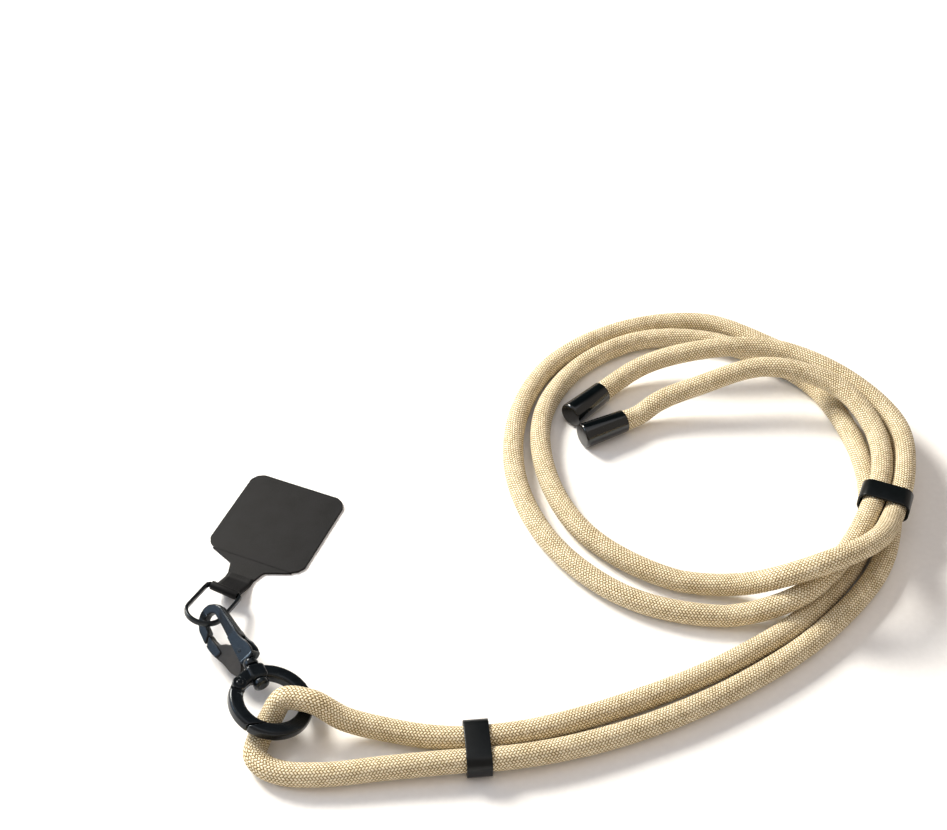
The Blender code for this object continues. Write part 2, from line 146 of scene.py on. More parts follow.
# Braided cord.
# Polyester yarn braided over a soft core in 26 columns, which slant left and right in turn.
# One 7.2 mm length, folded through the gate ring and wound with both halves into a coil.
CORD_D = 7.2e-3
COLUMNS = 13                          # pairs of columns round the cord
PITCH = 1.05e-3                       # length of one bundle's step
F, S = 3.7, 12.1                      # heights (mm) of a strand on the table, and on another one
BAND_Z, CAP_Z = 4.7, 4.65             # heights (mm) in the low band and in the caps
SIDES = 40                            # points round the cord
STEP = 0.72                           # mm between two rings of points
CREEP = 420.0                         # mm in which the columns creep once round the cord
SHIFT = (-28.034, -316.575, -0.05)    # photo frame to this frame (mm)
ROUTE = (                             # x, y, z of the centre line (mm)
    (46.1, 394.94, CAP_Z), (51, 399.84, CAP_Z), (62, 407.1, 7), (84, 411.4, 11.4),
    (109.9, 411.8, 11.9), (134.4, 396.2, 11.9), (149.2, 369.2, 12), (146.4, 347.2, S),
    (139.2, 329.6, S), (126.8, 310.5, 20), (110.3, 301.9, 20.5), (97.7, 301, 15), (86.1, 304.5, 6.8),
    (65.9, 308.7, F), (36.8, 329.7, F), (25.4, 356.3, F), (25.7, 386.8, F), (40.7, 411.5, F),
    (64.7, 425.5, F), (90.6, 424.7, F), (109.6, 414.7, F), (124.6, 400.9, F), (133, 381.3, F),
    (136.4, 352.4, F), (128.9, 323.2, F), (105.1, 293.2, F), (82.4, 277.6, F), (47.1, 260.8, F),
    (12, 249.6, BAND_Z), (-6, 248, BAND_Z), (-26, 251.1, 4.6), (-38, 253, 7.1), (-49.4, 256.4, 12),
    (-56.8, 257.4, 11), (-60.6, 253.8, 6.4), (-63.8, 248, F), (-64.4, 243, F), (-61.2, 239, F),
    (-55.8, 236.8, F), (-46, 236.2, F), (-26, 238.1, 4.2), (-6, 240, BAND_Z), (12, 241.6, BAND_Z),
    (46.8, 250.9, F), (82.2, 267.7, F), (112.1, 289.3, F), (134.6, 316.3, F), (143.4, 345.1, F),
    (146.2, 375.2, F), (130.5, 407.6, F), (114, 420.7, F), (88.2, 435.4, F), (72.5, 435.3, F),
    (57, 431, F), (40.1, 421.6, F), (26.5, 408, F), (19.1, 393.8, F), (14.9, 378.2, F),
    (15.5, 350.3, F), (27.3, 322.4, F), (51, 301, F), (80.3, 294, F), (103.9, 297.4, 10.2),
    (119, 311.4, 11.8), (132.2, 332.4, S), (139.6, 350.9, S), (140.5, 368.5, 12.4),
    (130.9, 388.1, 14.6), (106, 396.9, 16.4), (81.8, 392.5, 11.4), (66.1, 387.8, 7.2),
    (59.2, 383.7, CAP_Z), (52.9, 380.5, CAP_Z))


def cord_line(rows, step):
    """Cubic through the rows: slopes are the chords' weighted means, heights stay above the
    floor, and the points are then spaced evenly along it. Returns them and their distances."""
    fine = 60                         # points between two rows, before the even spacing
    p = np.asarray(rows, float)
    d = np.linalg.norm(np.diff(p, axis=0), axis=1)[:, None]
    chord = np.diff(p, axis=0) / d
    mean = (chord[:-1] * d[1:] + chord[1:] * d[:-1]) / (d[:-1] + d[1:])
    m = np.vstack((chord[:1], mean, chord[-1:]))
    u = (np.arange(fine) / fine)[None, :, None]
    d3, a, b = d[:, :, None], p[:-1, None], p[1:, None]
    q = ((2 * u**3 - 3 * u**2 + 1) * a + (u**3 - 2 * u**2 + u) * d3 * m[:-1, None]
         + (3 * u**2 - 2 * u**3) * b + (u**3 - u**2) * d3 * m[1:, None])
    q = np.vstack((q.reshape(-1, 3), p[-1:]))
    q[:, 2] = np.maximum(q[:, 2], F)
    s = np.concatenate(([0.0], np.cumsum(np.linalg.norm(np.diff(q, axis=0), axis=1))))
    at = np.linspace(0, s[-1], int(s[-1] / step) + 1)
    return np.stack([np.interp(at, s, q[:, k]) for k in range(3)], axis=1), at


def carried_frames(line):
    """Normal and binormal at each point: the normal is carried along without twist by taking
    away its part along each new tangent, and the binormal is square to both."""
    t = np.gradient(line, axis=0)
    t /= np.linalg.norm(t, axis=1)[:, None]
    n = np.empty_like(t)
    v = np.cross(t[0], (0.0, 0.0, 1.0))
    for k in range(len(t)):
        v = v - (v @ t[k]) * t[k]
        v /= np.linalg.norm(v)
        n[k] = v
    return n, np.cross(t, n)


def grid_faces(rows, cols, wrap_rows=False):
    """Quads of a rows x cols grid: point (i, j) is i * cols + j, and the columns wrap round."""
    i = np.arange(rows if wrap_rows else rows - 1)[:, None]
    j = np.arange(cols)[None, :]
    i2, j2 = (i + 1) % rows, (j + 1) % cols
    corners = (i * cols + j, i * cols + j2, i2 * cols + j2, i2 * cols + j)
    return np.stack(corners, axis=-1).reshape(-1, 4)


def surface(name, verts, faces, mat, body, slot, flat_from=None, uv=None):
    """A closed mesh in metres at the origin, riding on a body. faces is a list of index
    arrays, and those from flat_from on are shaded flat; uv is one pair a corner."""
    me = bpy.data.meshes.new(name)
    rows = [row for block in faces for row in np.asarray(block).tolist()]
    me.from_pydata(np.asarray(verts, float).tolist(), [], rows)
    if uv is not None:
        layer = me.uv_layers.new(name="uv")
        layer.data.foreach_set("uv", np.asarray(uv, np.float32).ravel())
    rounded_blocks = len(faces) if flat_from is None else flat_from
    smooth = np.concatenate([np.full(len(b), k < rounded_blocks) for k, b in enumerate(faces)])
    me.polygons.foreach_set("use_smooth", smooth)
    bm = bmesh.new()
    bm.from_mesh(me)
    bmesh.ops.recalc_face_normals(bm, faces=bm.faces)
    bm.to_mesh(me)
    bm.free()
    me.materials.append(mat)
    ob = bpy.data.objects.new(name, me)
    bpy.context.scene.collection.objects.link(ob)
    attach(ob, body)
    return ob


line_mm, along = cord_line(ROUTE, STEP)
line = (line_mm + SHIFT) * 1e-3
normal, binormal = carried_frames(line)
theta = 2 * np.pi * np.arange(SIDES) / SIDES
# the thickness swells and shrinks by up to one percent along the cord
r = CORD_D / 2 * (1 + 0.006 * np.sin(along * 0.21) + 0.004 * np.sin(along * 0.083 + 1.0))
ring = (np.cos(theta)[None, :, None] * normal[:, None]
        + np.sin(theta)[None, :, None] * binormal[:, None])
verts = np.vstack(((line[:, None] + r[:, None, None] * ring).reshape(-1, 3), line[:1], line[-1:]))
j, last = np.arange(SIDES), (len(line) - 1) * SIDES
j2 = (j + 1) % SIDES
ends = np.vstack((np.stack([np.full(SIDES, len(verts) - 2), j2, j], axis=1),
                  np.stack([np.full(SIDES, len(verts) - 1), last + j, last + j2], axis=1)))
# one unit of u is a pair of columns and one of v a bundle's step; the ends stay plain
turn = along / CREEP
row, col = np.meshgrid(np.arange(len(line) - 1), np.arange(SIDES), indexing="ij")
uv = [np.stack(((c / SIDES + turn[i]) * COLUMNS, along[i] / (PITCH * 1e3)), axis=-1)
      for i, c in ((row, col), (row, col + 1), (row + 1, col + 1), (row + 1, col))]
uv = np.vstack((np.stack(uv, axis=2).reshape(-1, 2), np.zeros((6 * SIDES, 2))))

# braided polyester yarn: rounded bundles with a dull sheen, a painted highlight on their crowns and
# painted shade where they dive under
braid, bt, bs = material("braided_polyester_yarn", Roughness=0.85, Specular_IOR_Level=0.15,
                         Sheen_Weight=0.05, Sheen_Roughness=0.5)
cells = add(bt, "SeparateXYZ", [("Vector", add(bt, "UVMap", uv_map="uv"))])
across, lengthwise = cells.outputs["X"], cells.outputs["Y"]
in_pair = add(bt, "Math", [(0, across)], operation="FRACT")
left = add(bt, "Math", [(0, in_pair)], operation="LESS_THAN", in1=0.5)
centred = add(bt, "Math", [(0, in_pair)], operation="SUBTRACT", in1=0.5)
off = add(bt, "Math", [(0, centred)], operation="ABSOLUTE")
slant = add(bt, "Math", [(0, off), (2, lengthwise)], operation="MULTIPLY_ADD", in1=0.9)
phase = add(bt, "Math", [(0, left), (2, slant)], operation="MULTIPLY_ADD", in1=0.5)
half = add(bt, "Math", [(0, across)], operation="MULTIPLY", in1=2.0)
arches = []                           # 1 in the middle of each cell, 0 at its edges
for value, sharp in ((phase, 1.9), (half, 6.0)):
    f = add(bt, "Math", [(0, value)], operation="FRACT")
    e = add(bt, "Math", [(0, f)], operation="MULTIPLY_ADD", in1=2.0, in2=-1.0)
    e = add(bt, "Math", [(0, e)], operation="ABSOLUTE")
    p = add(bt, "Math", [(0, e)], operation="POWER", in1=sharp)
    arches.append(add(bt, "Math", [(1, p)], operation="SUBTRACT", in0=1.0))
bundle = add(bt, "Math", [(0, arches[0]), (1, arches[1])], operation="MULTIPLY")
cell = add(bt, "CombineXYZ", [("X", add(bt, "Math", [(0, phase)], operation="FLOOR")),
                              ("Y", add(bt, "Math", [(0, half)], operation="FLOOR"))])
tone = add(bt, "TexWhiteNoise", [("Vector", cell)])
spot = add(bt, "TexCoord").outputs["Object"]
drift = add(bt, "TexNoise", [("Vector", spot)], Scale=140.0, Detail=4.0)
threads = add(bt, "Math", [(0, phase)], operation="MULTIPLY", in1=31.4)   # five threads a bundle
threads = add(bt, "Math", [(0, threads)], operation="SINE")
height = add(bt, "Math", [(0, threads), (2, bundle)], operation="MULTIPLY_ADD", in1=0.05)
# painted shade and highlight: the bundles' relief also sets the colour, dark in the gaps and light on
# the crowns; the noise per bundle and the soft drift are the yarn's own random tone
painted_shade_and_tone = add(bt, "Math", [(0, tone.outputs["Value"])], operation="MULTIPLY", in1=0.14)
painted_shade_and_tone = add(bt, "Math", [(0, height), (2, painted_shade_and_tone)], operation="MULTIPLY_ADD", in1=0.72)
painted_shade_and_tone = add(bt, "Math", [(0, drift), (2, painted_shade_and_tone)], operation="MULTIPLY_ADD", in1=0.24)
# the ramp runs from painted shade (dark brown) through the yarn's beige to a painted highlight (near
# white)
yarn = add(bt, "ValToRGB", [("Fac", painted_shade_and_tone)],
           ((0.13, "#332710"), (0.36, "#9a8052"), (0.6, "#dac59b"), (0.92, "#fff4da")))
bt.links.new(yarn.outputs[0], bs.inputs["Base Color"])
bump = add(bt, "Bump", [("Height", height)], Strength=0.9, Distance=0.0003)
bt.links.new(bump.outputs[0], bs.inputs["Normal"])

cord = surface("braided_cord", verts, [grid_faces(len(line), SIDES), ends], braid, "cord_and_ring",
               "beige_braid", uv=uv)
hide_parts("cord")

# End caps.
# Two black moulded plastic caps glued over the cord's ends: slightly conical, wider at the
# closed end, with a small round along the rims. The mouth is a thin lip round the cord.
CAP_L, CAP_D, CAP_MOUTH = 16.0, 9.1, 8.1   # length, closed end, open end (mm)
BORE_R, BORE_END, MOUTH_AT = 3.66, 0.3, -1.2   # bore, and its two ends from the cord's end (mm)


def unit(v):
    """The vector divided by its own length."""
    v = np.asarray(v, float)
    return v / np.linalg.norm(v)


def soften(points, radius, steps=6, closed=True):
    """Each corner becomes an arc of that radius, smaller between short edges: a rational
    quadratic Bezier whose middle weight is the sine of half the corner's angle."""
    p = np.asarray(points, float)
    a, b = np.roll(p, 1, 0) - p, np.roll(p, -1, 0) - p
    la = np.linalg.norm(a[:, :2], axis=1)[:, None]
    lb = np.linalg.norm(b[:, :2], axis=1)[:, None]
    cosine = np.sum(a[:, :2] * b[:, :2], axis=1)[:, None] / (la * lb)
    half_angle = np.arccos(np.clip(cosine, -1, 1)) / 2
    short = np.minimum(la, lb)
    t = np.clip(radius / np.tan(np.maximum(half_angle, 0.05)), 0.2 * short, 0.45 * short)
    u = np.linspace(0, 1, steps)[None, :, None]
    w = 2 * u * (1 - u) * np.sin(half_angle)[:, None]
    start, end = (p + a * (t / la))[:, None], (p + b * (t / lb))[:, None]
    q = ((1 - u)**2 * start + w * p[:, None] + u**2 * end) / ((1 - u)**2 + w + u**2)
    if closed:
        return q.reshape(-1, p.shape[1])
    return np.vstack((p[:1], q[1:-1].reshape(-1, p.shape[1]), p[-1:]))


def lathe(rows, origin, axis, sides=72):
    """Rows of (distance along the axis, radius) turned round it, all mm in the photo's frame;
    the first and last rows are the poles. Returns metres and faces."""
    rows, axis = np.asarray(rows, float), unit(axis)
    u = unit(np.cross(axis, (0.3, 0.2, 1.0)))
    th = 2 * np.pi * np.arange(sides) / sides
    spokes = np.cos(th)[:, None] * u + np.sin(th)[:, None] * np.cross(axis, u)
    mid = rows[1:-1]
    v = np.asarray(origin) + mid[:, 0, None, None] * axis + mid[:, 1, None, None] * spokes[None]
    poles = np.asarray(origin) + rows[[0, -1], :1] * axis
    n, j = len(mid) * sides, np.arange(sides)
    j2 = (j + 1) % sides
    fans = np.vstack((np.stack([np.full(sides, n), j2, j], axis=1),
                      np.stack([np.full(sides, n + 1), n - sides + j, n - sides + j2], axis=1)))
    return (np.vstack((v.reshape(-1, 3), poles)) + SHIFT) * 1e-3, [grid_faces(len(mid), sides), fans]


# gloss moulded plastic: near black with a blue cast, sharp highlights, faint waviness and haze
gloss, gt, gs = material("gloss_black_moulded_plastic", Specular_IOR_Level=0.5, Coat_Weight=0.2,
                         Coat_Roughness=0.08)
spot = add(gt, "TexCoord").outputs["Object"]
wave = add(gt, "TexNoise", [("Vector", spot)], Scale=230.0, Detail=3.0)
tint = add(gt, "ValToRGB", [("Fac", wave)], ((0.3, "#020506"), (0.7, "#060b0d")))
gt.links.new(tint.outputs[0], gs.inputs["Base Color"])
haze = add(gt, "MapRange", [("Value", wave)], To_Min=0.1, To_Max=0.2)
gt.links.new(haze.outputs[0], gs.inputs["Roughness"])
fine = add(gt, "TexNoise", [("Vector", spot)], Scale=1500.0, Detail=2.0)
bump = add(gt, "Bump", [("Height", fine)], Strength=0.12, Distance=0.0001)
gt.links.new(bump.outputs[0], gs.inputs["Normal"])

route_mm = np.asarray(ROUTE, float)
rim = soften(((BORE_END, 0), (BORE_END, BORE_R), (MOUTH_AT, BORE_R), (MOUTH_AT, CAP_MOUTH / 2),
              (CAP_L, CAP_D / 2), (CAP_L, 0)), 0.5, 8, closed=False)
for name, end, before in (("end_cap_a", route_mm[0], route_mm[1]),
                          ("end_cap_b", route_mm[-1], route_mm[-2])):
    cap = surface("moulded_" + name[-5:], *lathe(rim, end, end - before, 96), gloss,
                  "cord_and_ring", "gloss_black_cap")
    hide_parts(name)

# Slider bands.
# Two flat loops of black painted metal, each pressed round the two strands: a rounded
# rectangle of 0.8 mm sheet with softened rims.
BAND_W, BAND_H, BAND_L = 17.2, 9.2, 7.6      # across the strands, through them, along them (mm)
WALL, CORNER, RIM = 0.8, 3.4, 0.28           # sheet, outer corners, rounding of the rims (mm)
HELD = (("ring_slider", (28, 0.62), (41, 0.42)),   # row of the route and share of the way to the
        ("coil_slider", (7, 0.72), (64, 0.27)))    # next row, for each of the two strands held


def rounded(w, h, r, n=8):
    """Points of a rounded rectangle: n + 1 on the quarter circle of radius r at each corner."""
    t = np.radians(np.add.outer((0, 90, 180, 270), 90 * np.arange(n + 1) / n))
    cx = np.array((1, -1, -1, 1))[:, None] * (w / 2 - r)
    cy = np.array((1, 1, -1, -1))[:, None] * (h / 2 - r)
    return np.stack((cx + r * np.cos(t), cy + r * np.sin(t)), axis=-1).reshape(-1, 2)


# satin paint on metal: charcoal black, soft highlights, faint orange peel and small scuffs
satin, st, ss = material("satin_black_painted_metal", Specular_IOR_Level=0.24)
spot = add(st, "TexCoord").outputs["Object"]
peel = add(st, "TexNoise", [("Vector", spot)], Scale=900.0, Detail=3.0)
scuff = add(st, "TexNoise", [("Vector", spot)], Scale=260.0, Detail=6.0, Roughness=0.75)
tint = add(st, "ValToRGB", [("Fac", scuff)], ((0.35, "#06090a"), (0.62, "#0a0e10"), (0.75, "#12181b")))
st.links.new(tint.outputs[0], ss.inputs["Base Color"])
haze = add(st, "MapRange", [("Value", scuff)], To_Min=0.26, To_Max=0.36)
st.links.new(haze.outputs[0], ss.inputs["Roughness"])
bump = add(st, "Bump", [("Height", peel)], Strength=0.2, Distance=0.0001)
st.links.new(bump.outputs[0], ss.inputs["Normal"])

out = rounded(BAND_W, BAND_H, CORNER)
inn = rounded(BAND_W - 2 * WALL, BAND_H - 2 * WALL, CORNER - WALL)
# the wall's section: (depth into the sheet, place along the band), in mm
turned = np.radians(np.linspace(0, 90, 5))
edge = np.stack((RIM * (1 - np.sin(turned)), BAND_L / 2 - RIM * (1 - np.cos(turned))), axis=1)
rows = np.vstack((edge * (1, -1), edge[::-1],
                  edge * (-1, 1) + (WALL, 0), edge[::-1] * (-1, -1) + (WALL, 0)))
share = (rows[:, 0] / WALL)[:, None, None]
flat = out[None] * (1 - share) + inn[None] * share
for name, (i, u), (k, w) in HELD:
    a = route_mm[i] + u * (route_mm[i + 1] - route_mm[i])
    b = route_mm[k] + w * (route_mm[k + 1] - route_mm[k])
    side, up = unit((a - b) * (1, 1, 0)), np.array([0, 0, 1.0])
    axis = np.cross(up, side)
    v = (a + b) / 2 + flat[..., :1] * side + flat[..., 1:] * up + rows[:, 1, None, None] * axis
    band = surface("painted_" + name, (v.reshape(-1, 3) + SHIFT) * 1e-3,
                   [grid_faces(len(rows), len(out), True)], satin, "cord_and_ring",
                   "satin_black_band")
    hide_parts(name)

# Gate ring.
# A die-cast ring with a black plating: a flattened round section, a square boss that the
# clasp's stem turns in, and a gate arc on a riveted knuckle with a slanted seam.
RING_C = np.array((-60.6, 257.9, 8.9))       # centre (mm)
TILT, TILT_AZ = radians(19.0), radians(15.0)     # off the level, and the azimuth it leans to
SWIVEL_AZ, HINGE_AZ, SEAM_AZ = 119.5, 160.0, 253.0   # azimuths of the three places (degrees)
SEAM_SKEW, SEAM_GAP = 50.0, 0.2              # off the radius (degrees), half its width (mm)
KNUCKLE = 13.5                               # arc that the knuckle takes (degrees)
RING_R, RING_W, RING_H = 10.8, 4.4, 3.8      # mid radius, section across and through (mm)
BOSS_IN, BOSS_OUT, BOSS_HALF = 8.2, 13.6, 3.1    # from the centre, and half its width (mm)
EDGE = 0.15                                  # rounding of an arc's end (mm)
RN = np.array([sin(TILT) * cos(TILT_AZ), sin(TILT) * sin(TILT_AZ), cos(TILT)])


def ring_dir(azimuth):
    """Unit direction in the ring's plane over that azimuth: the level one, lifted until it
    is square to the ring's normal."""
    h = np.array([cos(radians(azimuth)), sin(radians(azimuth)), 0.0])
    return unit(h - np.array([0, 0, 1.0]) * (h @ RN / RN[2]))


RX = ring_dir(SWIVEL_AZ)
RY = np.cross(RN, RX)


def ring_points(angle, r, h):
    """Points at those angles (degrees from the boss), radii and heights off the ring's plane."""
    t = np.radians(angle)
    return (RING_C + (r * np.cos(t))[..., None] * RX + (r * np.sin(t))[..., None] * RY
            + np.broadcast_to(h, np.shape(r))[..., None] * RN)


def ring_arc(a0, a1, skew0, skew1):
    """Arc of the section between two angles. A skewed end gives way by the offset from the
    mid radius times the skew's tangent; its last ring is smaller, which rounds the edge."""
    sec = rounded(RING_W, RING_H, 1.0, 6)
    n = int(abs(a1 - a0) / 2.5) + 2
    f = np.concatenate(([0, 0], np.linspace(0, 1, n)[1:-1], [1, 1]))[:, None]
    shrink = np.ones((len(f), 1))
    shrink[[0, -1]] = 0.9
    x, y = sec[None, :, 0] * shrink, sec[None, :, 1] * shrink
    r = RING_R + x
    first = a0 - np.degrees(x * tan(radians(skew0)) / r)
    final = a1 - np.degrees(x * tan(radians(skew1)) / r)
    inset = np.degrees(EDGE / RING_R) * np.sign(a1 - a0)
    angle = first + (final - first) * f
    angle[1] += inset
    angle[-2] -= inset
    v = ring_points(angle, r, y)
    m = len(sec)
    closed = [np.arange(m)[None], (len(f) - 1) * m + np.arange(m)[None]]
    return (v.reshape(-1, 3) + SHIFT) * 1e-3, [grid_faces(len(f), m)] + closed


# plated die-cast metal: black chrome with a cool cast, clear reflections, hairline wear, and a painted
# highlight in pale grey along sharp rims and thin wires
plated, lt, ls = material("black_plated_diecast_metal", Metallic=0.5, Specular_IOR_Level=0.5)
spot = add(lt, "TexCoord").outputs["Object"]
wear = add(lt, "TexNoise", [("Vector", spot)], Scale=320.0, Detail=6.0, Roughness=0.7)
tint = add(lt, "ValToRGB", [("Fac", wear)], ((0.3, "#12161a"), (0.65, "#1b2126"), (0.8, "#262e34")))
# painted highlight: pointiness picks out the sharp rims and the thin wires, and there the colour is
# mixed towards pale grey
rims = add(lt, "NewGeometry").outputs["Pointiness"]
rims = add(lt, "MapRange", [("Value", rims)], From_Min=0.56, From_Max=0.7)
painted_rim_highlight = add(lt, "Mix", data_type="RGBA", in7=linear("#8f999e"))
lt.links.new(rims.outputs[0], painted_rim_highlight.inputs[0])
lt.links.new(tint.outputs[0], painted_rim_highlight.inputs[6])
lt.links.new(painted_rim_highlight.outputs[2], ls.inputs["Base Color"])
haze = add(lt, "MapRange", [("Value", wear)], To_Min=0.2, To_Max=0.3)
lt.links.new(haze.outputs[0], ls.inputs["Roughness"])
hair = add(lt, "Mapping", [("Vector", spot)], Scale=(300.0, 300.0, 4000.0))
hair = add(lt, "TexNoise", [("Vector", hair)], Scale=1.0, Detail=2.0)
bump = add(lt, "Bump", [("Height", hair)], Strength=0.1, Distance=0.0001)
lt.links.new(bump.outputs[0], ls.inputs["Normal"])


def ring_angle(azimuth):
    """Angle from the boss (degrees) over that azimuth: the arctangent of RY's part by RX's."""
    d = ring_dir(azimuth)
    return np.degrees(np.arctan2(d @ RY, d @ RX))


def slab(outline, low, high, radius, axes):
    """Plate over an outline (s, t) between two heights, its rims rounded by radius: each rim
    ring is drawn in by r (1 - sin k) at the depth r (1 - cos k), for k from 0 to 90 degrees.
    Heights may vary from point to point. axes are the origin and three directions."""
    o = np.asarray(outline, float)[:, :2]
    lo, hi = np.broadcast_to(low, len(o)), np.broadcast_to(high, len(o))
    if np.sum(o[:, 0] * np.roll(o[:, 1], -1) - o[:, 1] * np.roll(o[:, 0], -1)) < 0:
        o, lo, hi = o[::-1], lo[::-1], hi[::-1]
    e1, e2 = o - np.roll(o, 1, 0), np.roll(o, -1, 0) - o
    n1 = np.stack((-e1[:, 1], e1[:, 0]), 1) / np.linalg.norm(e1, axis=1)[:, None]
    n2 = np.stack((-e2[:, 1], e2[:, 0]), 1) / np.linalg.norm(e2, axis=1)[:, None]
    m = (n1 + n2) / np.maximum(np.sum((n1 + n2) * n1, axis=1), 0.5)[:, None]
    k = np.linspace(0, pi / 2, 5)
    inset = radius * (1 - np.sin(k))[:, None, None]
    depth = radius * (1 - np.cos(k))[:, None]
    flat = np.vstack((o + inset * m, (o + inset * m)[::-1]))
    h = np.vstack((lo + depth, (hi - depth)[::-1]))
    p0, a, b, c = axes
    v = p0 + flat[..., :1] * a + flat[..., 1:] * b + h[..., None] * c
    n = len(o)
    return ((v.reshape(-1, 3) + SHIFT) * 1e-3,
            [grid_faces(len(h), n), np.arange(n)[None], (len(h) - 1) * n + np.arange(n)[None]])


hinge_a, seam_a = ring_angle(HINGE_AZ), ring_angle(SEAM_AZ) % 360
gap_a = np.degrees(SEAM_GAP / cos(radians(SEAM_SKEW)) / RING_R)
HC = ring_points(np.array(hinge_a), np.array(RING_R), 0.0)
body_arc = surface("plated_ring", *ring_arc(seam_a + gap_a, hinge_a + 360, SEAM_SKEW, 0), plated,
                   "cord_and_ring", "black_plated_metal", flat_from=1)
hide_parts("gate_ring")
box = soften(((BOSS_IN, -BOSS_HALF), (BOSS_OUT, -BOSS_HALF),
              (BOSS_OUT, BOSS_HALF), (BOSS_IN, BOSS_HALF)), 1.4, 8)
surface("ring_boss", *slab(box, -2.3, 2.3, 1.1, (RING_C, RX, RY, RN)), plated, "cord_and_ring",
        "black_plated_metal", flat_from=1)
# the pin through the knuckle: a wide head on each side, close to the ring's faces
top = RING_H / 2 + 0.12
rivet = ((-top - 0.2, 0), (-top - 0.2, 0.75), (-top, 0.75), (-top, 2.25), (-0.85, 2.25), (-0.85, 0.8),
         (0.85, 0.8), (0.85, 2.25), (top, 2.25), (top, 1.0), (top + 0.28, 0.85), (top + 0.34, 0))
surface("ring_rivet", *lathe(soften(rivet, 0.3, 5, closed=False), HC, RN), plated, "cord_and_ring",
        "black_plated_metal")
arc = surface("plated_ring_gate", *ring_arc(hinge_a + KNUCKLE, seam_a - gap_a, 0, SEAM_SKEW),
              plated, "ring_gate", "black_plated_metal", flat_from=1)
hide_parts("ring_gate")
# the gate's tongue, between the forks of the knuckle and round the pin
a_dir = unit(ring_points(np.array(hinge_a + 10.0), np.array(RING_R), 0.0) - HC)
b_dir = np.cross(RN, a_dir)
tongue = soften(((3.0, -1.9), (3.0, 1.9), (0.0, 2.0), (-1.4, 1.5), (-2.0, 0.0), (-1.4, -1.5),
                 (0.0, -2.0)), 0.8)
surface("ring_gate_tongue", *slab(tongue, -0.45, 0.45, 0.1, (HC, a_dir, b_dir, RN)), plated,
        "ring_gate", "black_plated_metal", flat_from=1)

# Swivel clasp.
# A die-cast hook on a turning stem: a flat spine, a hooked nose, and a lever gate pivoted
# between two cheeks. In its outlines (mm) s runs along it and t towards the gate.
BASE_R, ROLL = 15.5, radians(42.0)           # base from the ring's centre (mm), turn of the swivel
STEM_D, HEAD_D, HEAD_L, NECK_D = 2.4, 5.0, 2.0, 4.7   # mm
GAP = 0.3                                    # play of the stem along the boss (mm)
CHEEK_H, SLOT, GATE_H = 1.9, 1.15, 0.8       # half thicknesses: base, slot, lever (mm)
PIVOT, PIVOT_D = (4.6, 0.2), 1.5             # the lever's pin: (s, t), and its thickness
level = unit(np.cross((0, 0, 1.0), RX))
CB = cos(ROLL) * level - sin(ROLL) * np.cross(RX, level)
CC = np.cross(RX, CB)
P0 = RING_C + BASE_R * RX
CLASP = (P0, RX, CB, CC)
# s, t, half thickness of the spine and nose
SPINE = ((8.6, -2.3, 1.75), (14.0, -1.8, 1.5), (18.5, -1.3, 1.3), (21.8, -0.9, 1.3),
         (24.3, 0.4, 1.3), (25.9, 2.6, 1.3), (26.3, 4.7, 1.3), (25.7, 7.0, 1.3), (24.0, 9.0, 1.3),
         (21.3, 10.2, 1.3), (15.5, 10.5, 1.3), (18.2, 7.3, 1.3), (21.4, 7.1, 1.3), (22.7, 6.2, 1.3),
         (23.2, 4.8, 1.3), (22.8, 3.2, 1.3), (21.6, 2.2, 1.3), (18.5, 2.0, 1.3), (14.0, 1.9, 1.5),
         (11.2, 1.9, 1.6))
CHEEK = ((0.2, -2.3), (0.8, -3.6), (3.0, -3.9), (5.6, -3.4), (7.4, -2.6), (9.4, -2.1), (11.6, -1.95),
         (11.6, 1.9), (9.4, 1.9), (5.0, 2.0), (1.0, 2.0), (0.2, 1.5))
BASE = ((0.2, -2.3), (0.8, -3.6), (1.7, -3.75), (1.7, 2.0), (1.0, 2.0), (0.2, 1.5))
# s, t of the lever's plate (arm, thumb plate and hub), then of its thicker tip
GATE = ((15.0, 10.5), (13.2, 10.3), (11.5, 10.0), (8.5, 9.1), (6.0, 8.2), (3.6, 7.7), (1.4, 7.2),
        (-0.3, 6.3), (-1.0, 5.0), (-0.6, 3.7), (0.4, 2.9), (2.2, 2.3), (2.5, -1.4), (3.4, -2.0),
        (5.8, -2.0), (6.8, -1.4), (8.2, 1.0), (9.6, 3.0), (10.8, 4.0), (11.6, 5.2), (12.6, 6.4),
        (15.2, 7.2), (17.6, 7.3))
ARM = ((15.1, 10.4), (13.2, 10.2), (11.5, 9.9), (9.4, 9.3), (9.4, 6.6), (12.6, 6.9), (15.2, 7.4),
       (17.4, 7.5))

spine = soften(SPINE, 0.5, 5)
hook = surface("plated_hook", *slab(spine, -spine[:, 2], spine[:, 2], 0.4, CLASP), plated, "clasp",
               "black_plated_metal", flat_from=1)
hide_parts("swivel_hook")
for name, lo, hi in (("lower_cheek", -CHEEK_H, -SLOT), ("upper_cheek", SLOT, CHEEK_H)):
    surface("hook_" + name, *slab(soften(CHEEK, 0.6, 5), lo, hi, 0.25, CLASP), plated, "clasp",
            "black_plated_metal", flat_from=1)
surface("hook_base", *slab(soften(BASE, 0.3, 4), -CHEEK_H, CHEEK_H, 0.3, CLASP), plated, "clasp",
        "black_plated_metal", flat_from=1)
